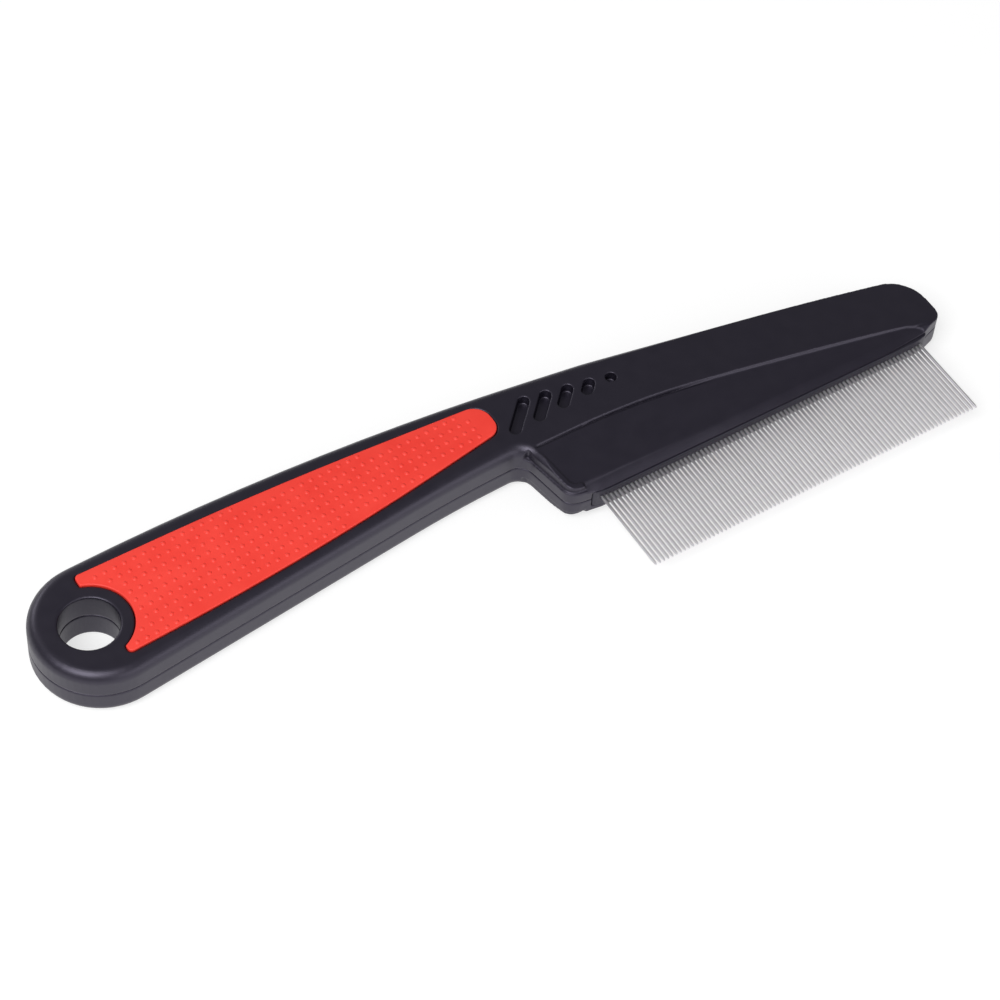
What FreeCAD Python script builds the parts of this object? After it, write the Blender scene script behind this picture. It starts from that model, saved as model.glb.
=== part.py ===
import FreeCAD, Part
import math
import os
import Sketcher

# Flea comb: two moulded half shells that close on a bar of fine steel pins, with a soft grip on each face.
# Millimetres. The origin is on the axis of the hanging hole at the rear face. +X runs along the comb to
# its tip, the pins point along -Y, and +Z is the front face. Each shell is drawn from the seam outwards.

Vector = FreeCAD.Vector
doc = FreeCAD.newDocument("FleaComb")
sheet = doc.addObject("Spreadsheet::Sheet", "sizes")

SIZES = [
    # handle
    ("handle_thickness", 10.6, "front face to rear face"),
    ("notch_x", 85.7, "hole axis to the corner where the head starts"),
    ("notch_y", -4.86, "height of that corner on the belly of the handle"),
    ("notch_radius", 3.0, "inside corner between the belly and the head"),
    ("butt_x", 2.37, "centre of the round butt, ahead of the hole"),
    ("butt_y", 0.26, "centre of the round butt, above the hole"),
    ("butt_radius", 12.87, "round butt end"),
    ("back_bend_setback", 36.3, "notch to the middle of the bend in the back"),
    ("back_bend_y", 14.9, "height of the bend in the back"),
    ("back_ease_ahead", 20.1, "notch to the middle of the slighter bend over the head"),
    ("back_ease_y", 7.12, "height of the slighter bend over the head"),
    ("back_bend_radius", 512.0, "bend in the back"),
    ("back_ease_radius", 100.0, "slighter bend over the head"),
    ("belly_bend_setback", 14.2, "notch to the middle of the bend in the belly"),
    ("belly_bend_y", -5.29, "height of the bend in the belly"),
    ("belly_bend_radius", 250.0, "bend in the belly"),
    ("handle_round", 2.2, "rounding of the handle's outer edges"),
    ("seam_chamfer", 0.15, "chamfer on each shell that makes the groove along the seam"),
    # hanging hole
    ("hole_radius", 5.45, "hanging hole"),
    ("hole_chamfer", 0.2, "edge of the hanging hole"),
    # head
    ("head_depth", 17.5, "hole axis to the pin side of the head"),
    ("heel_lean", 2.1, "how far the notch wall leans towards the tip"),
    ("heel_radius", 2.8, "heel of the head"),
    ("tip_top_y", -5.24, "upper corner of the tip"),
    ("tip_top_radius", 7.0, "upper corner of the tip"),
    ("tip_low_radius", 2.3, "lower corner of the tip"),
    ("nose_run", 5.0, "length of the rising edge under the tip"),
    ("nose_rise", 1.53, "height of the rising edge under the tip"),
    ("nose_radius", 4.0, "where the rising edge starts"),
    ("taper_start", 9.3, "notch to the start of the thinning towards the tip"),
    ("tip_thickness", 5.3, "thickness at the tip"),
    # sloped panel of the head, drawn in its own plane
    ("panel_x", 0.6, "notch to the panel's corner"),
    ("panel_y", -5.84, "height of the panel's corner"),
    ("panel_sink", 0.045, "depth of the panel at its corner"),
    ("panel_slope", 9.09, "tilt of the panel, degrees"),
    ("panel_skew", 5.05, "turn of the tilt's axis from the comb's length, degrees"),
    ("panel_draft", 35.0, "lean of the panel's walls, degrees"),
    ("panel_clear", 3.5, "height cut clear above the panel"),
    ("cut_margin", 6.0, "how far a cut runs on outside the solid"),
    ("crease_bend_x", 25.7, "panel corner to the bend in the crease"),
    ("crease_bend_y", 0.14, "height of that bend over the corner"),
    ("crease_radius", 215.0, "bend in the crease"),
    ("crease_drop", 9.98, "drop of the crease from its bend to its end"),
    ("crease_end", 4.5, "end of the crease to the tip"),
    ("crease_end_radius", 5.0, "rounded end of the crease"),
    ("rim_width", 2.15, "rim between the notch wall and the panel, at the heel"),
    ("rim_height", 0.35, "rim above the panel"),
    ("rim_corner_y", 1.9, "panel corner to the bend in the rim"),
    ("rim_corner_x", 1.6, "panel corner to the bend in the rim"),
    ("rim_corner_radius", 3.0, "bend in the rim"),
    ("rim_heel_radius", 1.5, "rim's inside corner at the heel"),
    ("rim_heel_width", 1.45, "rim between the pin side and the panel, at the heel"),
    ("rim_end", 3.5, "heel to the end of the rim"),
    ("ledge_height", 2.65, "seam to the ledge along the notch wall"),
    ("ledge_width", 0.5, "ledge along the notch wall"),
    ("ledge_drop", 0.75, "notch corner to the start of the ledge"),
    ("bevel_lip", 2.42, "seam to the bevel's lower edge on the pin side"),
    ("bevel_run", 3.74, "pin side to the bevel's upper edge, where the head is full thickness"),
    # row of finger slots
    ("slot_width", 2.2, "slots in the faces"),
    ("slot_depth", 2.0, "slots in the faces"),
    ("slot_angle", 45.0, "lean of the slots, degrees"),
    ("slot_length", 6.8, "centre to centre length of the first slot"),
    ("slot_count", 5, "slots, the last one round"),
    ("slot_x", 3.2, "notch to the middle of the first slot"),
    ("slot_y", 1.75, "height of the first slot's middle"),
    ("slot_pitch", 4.87, "slot to slot along the comb"),
    ("slot_fall", 0.19, "slot to slot downwards"),
    # soft grips
    ("grip_left_x", 2.1, "upper horn of the grip"),
    ("grip_left_low_x", 3.0, "lower horn of the grip"),
    ("grip_top_y", 10.2, "upper edge of the grip near the hole"),
    ("grip_low_y", -9.11, "lower edge of the grip near the hole"),
    ("grip_hole_radius", 7.85, "hole axis to the hollow end of the grip"),
    ("grip_horn_round", 0.45, "inner corners of the horns"),
    ("grip_corner_round", 1.0, "outer corners of the horns"),
    ("grip_end_setback", 1.4, "notch to the round end of the grip"),
    ("grip_end_top_y", 7.5, "upper corner of the round end"),
    ("grip_end_low_y", 0.28, "lower corner of the round end"),
    ("grip_end_top_radius", 3.8, "upper corner of the round end"),
    ("grip_end_low_radius", 2.9, "lower corner of the round end"),
    ("grip_bend_setback", 44.8, "notch to the bends in the grip's long edges"),
    ("grip_bend_top_y", 10.17, "bend in the upper edge"),
    ("grip_bend_low_y", -7.03, "bend in the lower edge"),
    ("grip_bend_top_radius", 700.0, "bend in the upper edge"),
    ("grip_bend_low_radius", 560.0, "bend in the lower edge"),
    ("grip_recess", 1.5, "pocket for the grip"),
    ("grip_proud", 0.3, "front grip above the front face"),
    ("grip_draft", 7.0, "lean of the grip's wall, which leaves the gap round it, degrees"),
    ("grip_edge_chamfer", 0.15, "edge of the front grip"),
    # pin row and the bar that holds it
    ("pin_count", 81, "pins"),
    ("pins_per_group", 3, "pins in one node"),
    ("pin_pitch", 0.9, "pin to pin"),
    ("pin_radius", 0.3, "steel wire"),
    ("pin_reach", 18.43, "pin tips to the pin side of the head"),
    ("pin_hole_depth", 4.0, "seat of each pin in the bar"),
    ("pin_sides", 8, "flats that stand for the round wire"),
    ("pin_tip_length", 0.5, "ground tip"),
    ("pin_tip_narrowing", 0.15, "how much the ground tip narrows on each side"),
    ("row_start", 6.435, "heel to the first pin"),
    ("row_end", 6.265, "last pin to the tip"),
    ("bar_height", 4.0, "bar, across the seam"),
    ("bar_depth", 6.5, "bar, front to back"),
    ("bar_proud", 0.55, "bar beyond the head's pin side"),
    ("bar_lead", 1.9, "end of the bar before the first pin"),
    ("bar_tail", 1.6, "end of the bar after the last pin"),
    ("bar_corner_radius", 0.8, "corners of the bar"),
    # pegs that hold the halves and the bar
    ("peg_radius", 1.5, "locating pegs of the handle"),
    ("peg_length", 2.4, "locating pegs of the handle"),
    ("peg_clearance", 0.1, "room round and under each peg"),
    ("peg_first_x", 18.0, "first handle peg"),
    ("peg_last_setback", 11.7, "notch to the last handle peg"),
    ("peg_y", 2.0, "height of the handle pegs"),
    ("bar_key_width", 3.0, "keys of the front half through the bar"),
    ("bar_key_depth", 1.2, "keys of the front half through the bar"),
    ("bar_key_inset", 1.15, "back of the bar to the middle of its keys"),
    ("bar_key_margin", 8.0, "bar's ends to the outer keys"),
    ("bar_key_count", 4, "keys through the bar"),
]

for row, (alias, number, note) in enumerate(SIZES, start=1):
    sheet.set(f"A{row}", alias)
    sheet.set(f"B{row}", str(number))
    sheet.set(f"C{row}", note)
    sheet.setAlias(f"B{row}", alias)
doc.recompute()


def size(alias):
    """The number in the cell of that name."""
    return float(sheet.get(alias))


ROW_LENGTH = (size("pin_count") - 1) * size("pin_pitch")
HALF = size("handle_thickness") / 2
TOUCH = 0.001  # points nearer than this count as touching
TAPER_RUN = "(%s - sizes.notch_x - sizes.taper_start)"
TAPER_DROP = "((sizes.handle_thickness - sizes.tip_thickness) / 2)"

# Places that are worked out from several cells: their value and the same formula for the document.
PLACES = {
    "zero": (0.0, "0"),
    "half": (HALF, "(sizes.handle_thickness / 2)"),
    "bar_half": (size("bar_height") / 2, "(sizes.bar_height / 2)"),
    "slot_round": (size("slot_width") / 2, "(sizes.slot_width / 2)"),
    "wedge_width": (4 * size("head_depth"), "(4 * sizes.head_depth)"),
    "row_length": (ROW_LENGTH, "((sizes.pin_count - 1) * sizes.pin_pitch)"),
    "heel_x": (size("notch_x") + size("heel_lean"), "(sizes.notch_x + sizes.heel_lean)"),
}
PLACES["tip_x"] = (
    PLACES["heel_x"][0] + size("row_start") + ROW_LENGTH + size("row_end"),
    "(sizes.notch_x + sizes.heel_lean + sizes.row_start + (sizes.pin_count - 1) * sizes.pin_pitch"
    " + sizes.row_end)",
)


def add_taper_radius():
    """Radius of the long arc that thins the head from the taper's start to the tip."""
    run = PLACES["tip_x"][0] - size("notch_x") - size("taper_start")
    drop = HALF - size("tip_thickness") / 2
    across = TAPER_RUN % PLACES["tip_x"][1]
    PLACES["taper_radius"] = (
        (run * run + drop * drop) / (2 * drop),
        f"(({across} ^ 2 + {TAPER_DROP} ^ 2) / (2 * {TAPER_DROP}))",
    )


add_taper_radius()


def value(text):
    """Value of a sum such as "notch_x - grip_end_setback"; a sum may start with a minus."""
    total = 0.0
    sign = 1
    for word in text.split():
        if word in ("+", "-"):
            sign = 1 if word == "+" else -1
        elif word in PLACES:
            total += sign * PLACES[word][0]
        else:
            total += sign * size(word)
    return total


def formula(text):
    """The same sum, written for the document."""
    words = []
    for word in text.split():
        if word in ("+", "-"):
            words.append(word)
        elif word in PLACES:
            words.append(PLACES[word][1])
        else:
            words.append("sizes." + word)
    return " ".join(words)


def base_item(body, role):
    """One of the body's own base planes or axes, such as XY_Plane."""
    return next(item for item in body.Origin.OriginFeatures if item.Role == role)


def new_sketch(owner, name, plane="XY_Plane", offset=None):
    """A sketch on one of the body's own planes, or a free one when owner is the document."""
    if owner is doc:
        sketch = doc.addObject("Sketcher::SketchObject", name)
        if plane == "XZ_Plane":
            sketch.Placement.Rotation = FreeCAD.Rotation(Vector(1, 0, 0), 90)
        return sketch
    sketch = owner.newObject("Sketcher::SketchObject", name)
    sketch.AttachmentSupport = [(base_item(owner, plane), "")]
    sketch.MapMode = "FlatFace"
    if offset:
        sketch.AttachmentOffset = offset
    return sketch


class Outline:
    """Draws one closed loop of lines and arcs in a sketch, each size held by a constraint."""

    def __init__(self, sketch):
        self.sketch = sketch
        self.pieces = []

    def line(self, start, end):
        index = self.sketch.addGeometry(Part.LineSegment(Vector(*start, 0), Vector(*end, 0)), False)
        self.pieces.append((index, 1, 2, False))
        return index

    def arc(self, centre, start, end, left, radius):
        """An arc from start to end, turning left or right, with its radius bound to a sum of sizes."""
        first, last = (start, end) if left else (end, start)
        angles = [math.atan2(p[1] - centre[1], p[0] - centre[0]) for p in (first, last)]
        circle = Part.Circle(Vector(*centre, 0), Vector(0, 0, 1), math.dist(centre, start))
        index = self.sketch.addGeometry(Part.ArcOfCircle(circle, angles[0], angles[1]), False)
        self.pieces.append((index, 1, 2, True) if left else (index, 2, 1, True))
        self.bind(Sketcher.Constraint("Radius", index, math.dist(centre, start)), radius)
        return index

    def bind(self, constraint, text):
        number = self.sketch.addConstraint(constraint)
        self.sketch.setExpression(f"Constraints[{number}]", formula(text))

    def pin_down(self, index, position, x_text, y_text):
        """Holds a point of the sketch at a place given by two sums."""
        self.bind(Sketcher.Constraint("DistanceX", index, position, value(x_text)), x_text)
        self.bind(Sketcher.Constraint("DistanceY", index, position, value(y_text)), y_text)

    def corner_point(self, x_text, y_text, lines):
        """The sharp corner that two lines would meet in."""
        index = self.sketch.addGeometry(Part.Point(Vector(value(x_text), value(y_text), 0)), True)
        self.pin_down(index, 1, x_text, y_text)
        for line in lines:
            self.sketch.addConstraint(Sketcher.Constraint("PointOnObject", index, 1, line))

    def chain(self, start, corners, end):
        """Lines from start to end through the corners (x, y, radius), each corner rounded by its radius."""
        sharp = [start] + [(value(x), value(y)) for x, y, radius in corners] + [end]
        here = start
        lines = []
        for number, (x_text, y_text, radius) in enumerate(corners, start=1):
            centre, entry, leave, left = rounded_corner(*sharp[number - 1:number + 2], value(radius))
            lines.append(self.line(here, entry))
            self.arc(centre, entry, leave, left, radius)
            here = leave
        lines.append(self.line(here, end))
        for number, (x_text, y_text, radius) in enumerate(corners):
            self.corner_point(x_text, y_text, lines[number:number + 2])
        return lines

    def close(self):
        """Joins each piece to the next one, smoothly where either is an arc."""
        for here, there in zip(self.pieces, self.pieces[1:] + self.pieces[:1]):
            kind = "Tangent" if here[3] or there[3] else "Coincident"
            self.sketch.addConstraint(Sketcher.Constraint(kind, here[0], here[2], there[0], there[1]))


def rounded_corner(before, corner, after, radius):
    """Centre, first point and last point of the arc that rounds a corner, and whether it turns left."""
    back = Vector(before[0] - corner[0], before[1] - corner[1], 0).normalize()
    ahead = Vector(after[0] - corner[0], after[1] - corner[1], 0).normalize()
    half_angle = back.getAngle(ahead) / 2
    reach = radius / math.tan(half_angle)
    middle = (back + ahead).normalize() * (radius / math.sin(half_angle))
    centre = (corner[0] + middle.x, corner[1] + middle.y)
    entry = (corner[0] + back.x * reach, corner[1] + back.y * reach)
    leave = (corner[0] + ahead.x * reach, corner[1] + ahead.y * reach)
    return centre, entry, leave, back.cross(ahead).z < 0


def closed_loop(sketch, corners):
    """A closed loop of straight lines through corners (x, y, radius); radius None leaves a corner sharp."""
    outline = Outline(sketch)
    sharp = [(value(x), value(y)) for x, y, radius in corners]
    rounds = []
    for number, (x_text, y_text, radius) in enumerate(corners):
        if radius is None:
            rounds.append((None, sharp[number], sharp[number], None))
        else:
            after = sharp[(number + 1) % len(sharp)]
            rounds.append(rounded_corner(sharp[number - 1], sharp[number], after, value(radius)))
    lines = []
    for number, (x_text, y_text, radius) in enumerate(corners):
        centre, entry, leave, left = rounds[number]
        if radius is not None:
            outline.arc(centre, entry, leave, left, radius)
        lines.append(outline.line(leave, rounds[(number + 1) % len(rounds)][1]))
    outline.close()
    for number, (x_text, y_text, radius) in enumerate(corners):
        if radius is None:
            outline.pin_down(lines[number], 1, x_text, y_text)
        else:
            outline.corner_point(x_text, y_text, [lines[number - 1], lines[number]])


def hold_centre(sketch, index, centre):
    """Keeps the centre of a circle or an arc where it is."""
    sketch.addConstraint(Sketcher.Constraint("DistanceX", index, 3, centre[0]))
    sketch.addConstraint(Sketcher.Constraint("DistanceY", index, 3, centre[1]))


def circles(sketch, places, radius):
    """Circles of one radius at places (x, y)."""
    for x, y in places:
        index = sketch.addGeometry(Part.Circle(Vector(x, y, 0), Vector(0, 0, 1), value(radius)), False)
        number = sketch.addConstraint(Sketcher.Constraint("Radius", index, value(radius)))
        sketch.setExpression(f"Constraints[{number}]", formula(radius))
        hold_centre(sketch, index, (x, y))


def polygon(sketch, sides, radius):
    """A regular polygon round the sketch's origin, its corners on a circle."""
    ring = sketch.addGeometry(Part.Circle(Vector(0, 0, 0), Vector(0, 0, 1), value(radius)), True)
    number = sketch.addConstraint(Sketcher.Constraint("Radius", ring, value(radius)))
    sketch.setExpression(f"Constraints[{number}]", formula(radius))
    sketch.addConstraint(Sketcher.Constraint("Coincident", ring, 3, -1, 1))
    angles = [2 * math.pi * (corner + 0.5) / sides for corner in range(sides)]
    corners = [(value(radius) * math.cos(angle), value(radius) * math.sin(angle)) for angle in angles]
    outline = Outline(sketch)
    lines = [outline.line(here, there) for here, there in zip(corners, corners[1:] + corners[:1])]
    outline.close()
    for line in lines:
        sketch.addConstraint(Sketcher.Constraint("PointOnObject", line, 1, ring))
    for here, there in zip(lines, lines[1:]):
        sketch.addConstraint(Sketcher.Constraint("Equal", here, there))


def rectangles(sketch, places, width, depth):
    """Rectangles of one size, each with its middle at a place (x, y)."""
    across, along = value(width), value(depth)
    for x, y in places:
        low, high = (x - across / 2, y - along / 2), (x + across / 2, y + along / 2)
        outline = Outline(sketch)
        bottom = outline.line(low, (high[0], low[1]))
        side = outline.line((high[0], low[1]), high)
        outline.line(high, (low[0], high[1]))
        outline.line((low[0], high[1]), low)
        outline.close()
        for number in range(4):
            kind = "Vertical" if number % 2 else "Horizontal"
            sketch.addConstraint(Sketcher.Constraint(kind, bottom + number))
        outline.bind(Sketcher.Constraint("DistanceX", bottom, 1, bottom, 2, across), width)
        outline.bind(Sketcher.Constraint("DistanceY", side, 1, side, 2, along), depth)
        sketch.addConstraint(Sketcher.Constraint("DistanceX", bottom, 1, low[0]))
        sketch.addConstraint(Sketcher.Constraint("DistanceY", bottom, 1, low[1]))


def feature(body, kind, name, profile, length, reverse=False, draft=None, **settings):
    """A Pad or Pocket of a sketch, with its length and the lean of its walls bound to sums of sizes."""
    made = body.newObject("PartDesign::" + kind, name)
    made.Profile = profile
    made.Reversed = reverse
    for key, setting in settings.items():
        setattr(made, key, setting)
    if length:
        made.setExpression("Length", formula(length))
    if draft:
        made.setExpression("TaperAngle", formula(draft))
    before = made.BaseFeature.Shape.Volume if made.BaseFeature else 0.0
    doc.recompute()
    gained = made.Shape.Volume - before
    if (gained > 0) != (kind == "Pad"):
        raise ValueError(f"{name} adds {gained:.3f} cubic mm as a {kind}")
    return made


def dress(body, kind, name, edge_numbers, amount):
    """A Fillet or Chamfer on edges of the body's last feature."""
    base = body.Tip
    made = body.newObject("PartDesign::" + kind, name)
    made.Base = (base, [f"Edge{number}" for number in edge_numbers])
    made.setExpression("Radius" if kind == "Fillet" else "Size", formula(amount))
    doc.recompute()
    return made


def edges_where(shape, test):
    """Numbers of the edges whose two ends and middle all pass the test."""
    found = []
    for number, edge in enumerate(shape.Edges, start=1):
        middle = (edge.FirstParameter + edge.LastParameter) / 2
        points = [edge.valueAt(at) for at in (edge.FirstParameter, middle, edge.LastParameter)]
        if all(test(point) for point in points):
            found.append(number)
    return found


def comb_outline(sketch):
    """Outline of the whole comb without its pins, seen from the front."""
    centre = (size("butt_x"), size("butt_y"))
    radius = size("butt_radius")
    belly = (value("notch_x - belly_bend_setback"), size("belly_bend_y"))
    back = (value("notch_x - back_bend_setback"), size("back_bend_y"))
    under = touching_point(centre, radius, belly, -1)
    over = touching_point(centre, radius, back, 1)
    corners = [
        ("notch_x - belly_bend_setback", "belly_bend_y", "belly_bend_radius"),
        ("notch_x", "notch_y", "notch_radius"),
        ("heel_x", "- head_depth", "heel_radius"),
        ("tip_x - nose_run", "- head_depth", "nose_radius"),
        ("tip_x", "nose_rise - head_depth", "tip_low_radius"),
        ("tip_x", "tip_top_y", "tip_top_radius"),
        ("notch_x + back_ease_ahead", "back_ease_y", "back_ease_radius"),
        ("notch_x - back_bend_setback", "back_bend_y", "back_bend_radius"),
    ]
    outline = Outline(sketch)
    outline.chain(under, corners, over)
    butt = outline.arc(centre, over, under, True, "butt_radius")
    outline.close()
    outline.pin_down(butt, 3, "butt_x", "butt_y")


def touching_point(centre, radius, outside, turn):
    """Where a line from an outside point touches a circle; turn 1 is the upper side, -1 the lower."""
    away = Vector(outside[0] - centre[0], outside[1] - centre[1], 0)
    angle = math.atan2(away.y, away.x) + turn * math.acos(radius / away.Length)
    return (centre[0] + radius * math.cos(angle), centre[1] + radius * math.sin(angle))


def shell_blank(name, side):
    """Half of the comb's bulk: the outline raised from the seam, rounded, then thinned to the tip."""
    outline = new_sketch(doc, name + "_outline")
    comb_outline(outline)
    slab = doc.addObject("Part::Extrusion", name + "_slab")
    slab.Base = outline
    slab.DirMode = "Custom"
    slab.Dir = Vector(0, 0, side)
    slab.Solid = True
    slab.setExpression("LengthFwd", formula("half"))
    doc.recompute()
    rounded = doc.addObject("Part::Fillet", name + "_rounded")
    rounded.Base = slab
    radius = size("handle_round")
    outer = edges_where(slab.Shape, lambda point: abs(side * point.z - HALF) < TOUCH)
    rounded.Edges = [(number, radius, radius) for number in outer]

    profile = new_sketch(doc, name + "_profile", "XZ_Plane")
    taper_profile(profile, side)
    wedge = doc.addObject("Part::Extrusion", name + "_wedge")
    wedge.Base = profile
    wedge.DirMode = "Custom"
    wedge.Dir = Vector(0, 1, 0)
    wedge.Solid = True
    wedge.Symmetric = True
    wedge.setExpression("LengthFwd", formula("wedge_width"))
    thinned = doc.addObject("Part::Cut", name + "_thinned")
    thinned.Base = rounded
    thinned.Tool = wedge
    doc.recompute()
    return thinned


def signed(side, text):
    """A sum of sizes as it is on the front half, or with every sign turned on the rear half."""
    if side > 0:
        return text
    return " ".join({"+": "-", "-": "+"}.get(word, word) for word in ["-"] + text.split())


def taper_profile(sketch, side):
    """Side view of what is cut away above the thinning head: a long arc that starts flat."""
    start = value("notch_x + taper_start")
    end = value("tip_x + cut_margin")
    radius = value("taper_radius")
    end_height = HALF - radius + math.sqrt(radius * radius - (end - start) ** 2)
    clear = HALF + size("handle_round")
    outline = Outline(sketch)
    arc = outline.arc((start, side * (HALF - radius)), (start, side * HALF), (end, side * end_height),
                      side < 0, "taper_radius")
    first, last = (1, 2) if side < 0 else (2, 1)
    lines = [
        outline.line((end, side * end_height), (end, side * clear)),
        outline.line((end, side * clear), (start, side * clear)),
        outline.line((start, side * clear), (start, side * HALF)),
    ]
    outline.pin_down(arc, first, "notch_x + taper_start", signed(side, "half"))
    sketch.addConstraint(Sketcher.Constraint("Vertical", arc, 3, arc, first))
    outline.bind(Sketcher.Constraint("DistanceX", arc, last, end), "tip_x + cut_margin")
    outline.bind(Sketcher.Constraint("DistanceY", lines[0], 2, side * clear),
                 signed(side, "half + handle_round"))
    for line, kind in zip(lines, ("Vertical", "Horizontal", "Vertical")):
        sketch.addConstraint(Sketcher.Constraint(kind, line))
    for here, there in zip(outline.pieces, outline.pieces[1:] + outline.pieces[:1]):
        sketch.addConstraint(Sketcher.Constraint("Coincident", here[0], here[2], there[0], there[1]))


def panel_plane(side, lift):
    """Placement of the head's sloped panel plane, or of one above it, on the front or the rear half."""
    skew = math.radians(size("panel_skew"))
    turn = FreeCAD.Rotation(Vector(math.cos(skew), math.sin(skew), 0), side * size("panel_slope"))
    height = side * (HALF - size("panel_sink") + lift)
    return FreeCAD.Placement(Vector(value("notch_x + panel_x"), size("panel_y"), height), turn)


def cut_head(body, side):
    """The sloped panel, its rim, the ledge along the notch wall and the bevel over the pins."""
    rim = new_sketch(body, body.Label + "_rim_sketch", offset=panel_plane(side, size("rim_height")))
    closed_loop(rim, [
        ("panel_x - cut_margin", "- head_depth", None),
        ("heel_lean + rim_end", "- head_depth", None),
        ("heel_lean + rim_end", "panel_x", None),
        ("panel_x - cut_margin", "panel_x", None),
    ])
    feature(body, "Pocket", body.Label + "_rim", rim, "panel_clear", side > 0)

    panel = new_sketch(body, body.Label + "_panel_sketch", offset=panel_plane(side, 0.0))
    PLACES["crease_end_x"] = (
        value("tip_x - notch_x - panel_x - crease_end"),
        "(%s - sizes.notch_x - sizes.panel_x - sizes.crease_end)" % PLACES["tip_x"][1])
    closed_loop(panel, [
        ("rim_corner_x", "- rim_corner_y", "rim_corner_radius"),
        ("heel_lean - panel_x + rim_width - ledge_width", "- head_depth - panel_y + rim_heel_width",
         "rim_heel_radius"),
        ("heel_lean - panel_x + rim_end", "- head_depth - panel_y + rim_heel_width", None),
        ("heel_lean - panel_x + rim_end", "- head_depth", None),
        ("crease_end_x", "- head_depth", None),
        ("crease_end_x", "crease_bend_y - crease_drop", "crease_end_radius"),
        ("crease_bend_x", "crease_bend_y", "crease_radius"),
        ("zero", "zero", None),
    ])
    feature(body, "Pocket", body.Label + "_panel", panel, "panel_clear", side > 0, "panel_draft")

    ledge_plane = FreeCAD.Placement(Vector(0, 0, side * size("ledge_height")), FreeCAD.Rotation())
    ledge = new_sketch(body, body.Label + "_ledge_sketch", offset=ledge_plane)
    closed_loop(ledge, [
        ("notch_x + ledge_width", "notch_y - ledge_drop", None),
        ("heel_x + ledge_width", "ledge_width - head_depth", "heel_radius - ledge_width"),
        ("heel_x + rim_end", "ledge_width - head_depth", None),
        ("heel_x + rim_end", "- head_depth - ledge_height", None),
        ("notch_x - cut_margin", "- head_depth - ledge_height", None),
        ("notch_x - cut_margin", "notch_y - ledge_drop", None),
    ])
    feature(body, "Pocket", body.Label + "_ledge", ledge, "half", side > 0)

    bevel_plane = FreeCAD.Placement(Vector(0, 0, value("heel_x + rim_end")), FreeCAD.Rotation())
    bevel = new_sketch(body, body.Label + "_bevel_sketch", "YZ_Plane", bevel_plane)
    closed_loop(bevel, [
        ("- head_depth", signed(side, "bevel_lip"), None),
        ("bevel_run - head_depth", signed(side, "half"), None),
        ("bevel_run - head_depth", signed(side, "half + cut_margin"), None),
        ("- head_depth - cut_margin", signed(side, "half + cut_margin"), None),
        ("- head_depth - cut_margin", signed(side, "bevel_lip"), None),
    ])
    feature(body, "Pocket", body.Label + "_bevel", bevel, None, True, Type="ThroughAll")


def grip_outline(sketch):
    """Outline of the soft grip: two horns round the hanging hole, long bowed edges and a round end."""
    hollow = size("grip_hole_radius")
    horn = size("grip_horn_round")
    horns = []
    for alias, up in (("grip_left_x", 1), ("grip_left_low_x", -1)):
        x = size(alias) + horn
        y = up * math.sqrt((hollow + horn) ** 2 - x * x)
        on_edge = (size(alias), y)
        on_hollow = (x * hollow / (hollow + horn), y * hollow / (hollow + horn))
        horns.append(((x, y), on_edge, on_hollow))
    upper, lower = horns
    outline = Outline(sketch)
    lines = outline.chain(lower[1], [
        ("grip_left_low_x", "grip_low_y", "grip_corner_round"),
        ("notch_x - grip_bend_setback", "grip_bend_low_y", "grip_bend_low_radius"),
        ("notch_x - grip_end_setback", "grip_end_low_y", "grip_end_low_radius"),
        ("notch_x - grip_end_setback", "grip_end_top_y", "grip_end_top_radius"),
        ("notch_x - grip_bend_setback", "grip_bend_top_y", "grip_bend_top_radius"),
        ("grip_left_x", "grip_top_y", "grip_corner_round"),
    ], upper[1])
    outline.arc(upper[0], upper[1], upper[2], True, "grip_horn_round")
    hollow_arc = outline.arc((0, 0), upper[2], lower[2], False, "grip_hole_radius")
    outline.arc(lower[0], lower[2], lower[1], True, "grip_horn_round")
    outline.close()
    sketch.addConstraint(Sketcher.Constraint("Vertical", lines[0]))
    sketch.addConstraint(Sketcher.Constraint("Vertical", lines[-1]))
    sketch.addConstraint(Sketcher.Constraint("Coincident", hollow_arc, 3, -1, 1))


def cut_slots(body):
    """A row of leaning slots that get shorter, ending in a round one."""
    face = FreeCAD.Placement(Vector(0, 0, HALF), FreeCAD.Rotation())
    sketch = new_sketch(body, body.Label + "_slot_sketch", offset=face)
    lean = math.radians(size("slot_angle"))
    along = Vector(math.cos(lean), math.sin(lean), 0)
    across = Vector(-along.y, along.x, 0) * (size("slot_width") / 2)
    count = int(size("slot_count"))
    for number in range(count):
        middle = Vector(value("notch_x + slot_x") + number * size("slot_pitch"),
                        size("slot_y") - number * size("slot_fall"), 0)
        half_length = size("slot_length") * (count - 1 - number) / (count - 1) / 2
        if half_length < size("slot_width") / 4:
            circles(sketch, [(middle.x, middle.y)], "slot_round")
            continue
        ends = [middle - along * half_length, middle + along * half_length]
        around = (ends[0] - across, ends[1] - across, ends[1] + across, ends[0] + across)
        corners = [(point.x, point.y) for point in around]
        centres = [(point.x, point.y) for point in ends]
        outline = Outline(sketch)
        outline.line(corners[0], corners[1])
        caps = [outline.arc(centres[1], corners[1], corners[2], True, "slot_round")]
        outline.line(corners[2], corners[3])
        caps.insert(0, outline.arc(centres[0], corners[3], corners[0], True, "slot_round"))
        outline.close()
        for cap, centre in zip(caps, centres):
            hold_centre(sketch, cap, centre)
    feature(body, "Pocket", body.Label + "_slots", sketch, "slot_depth")


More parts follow.
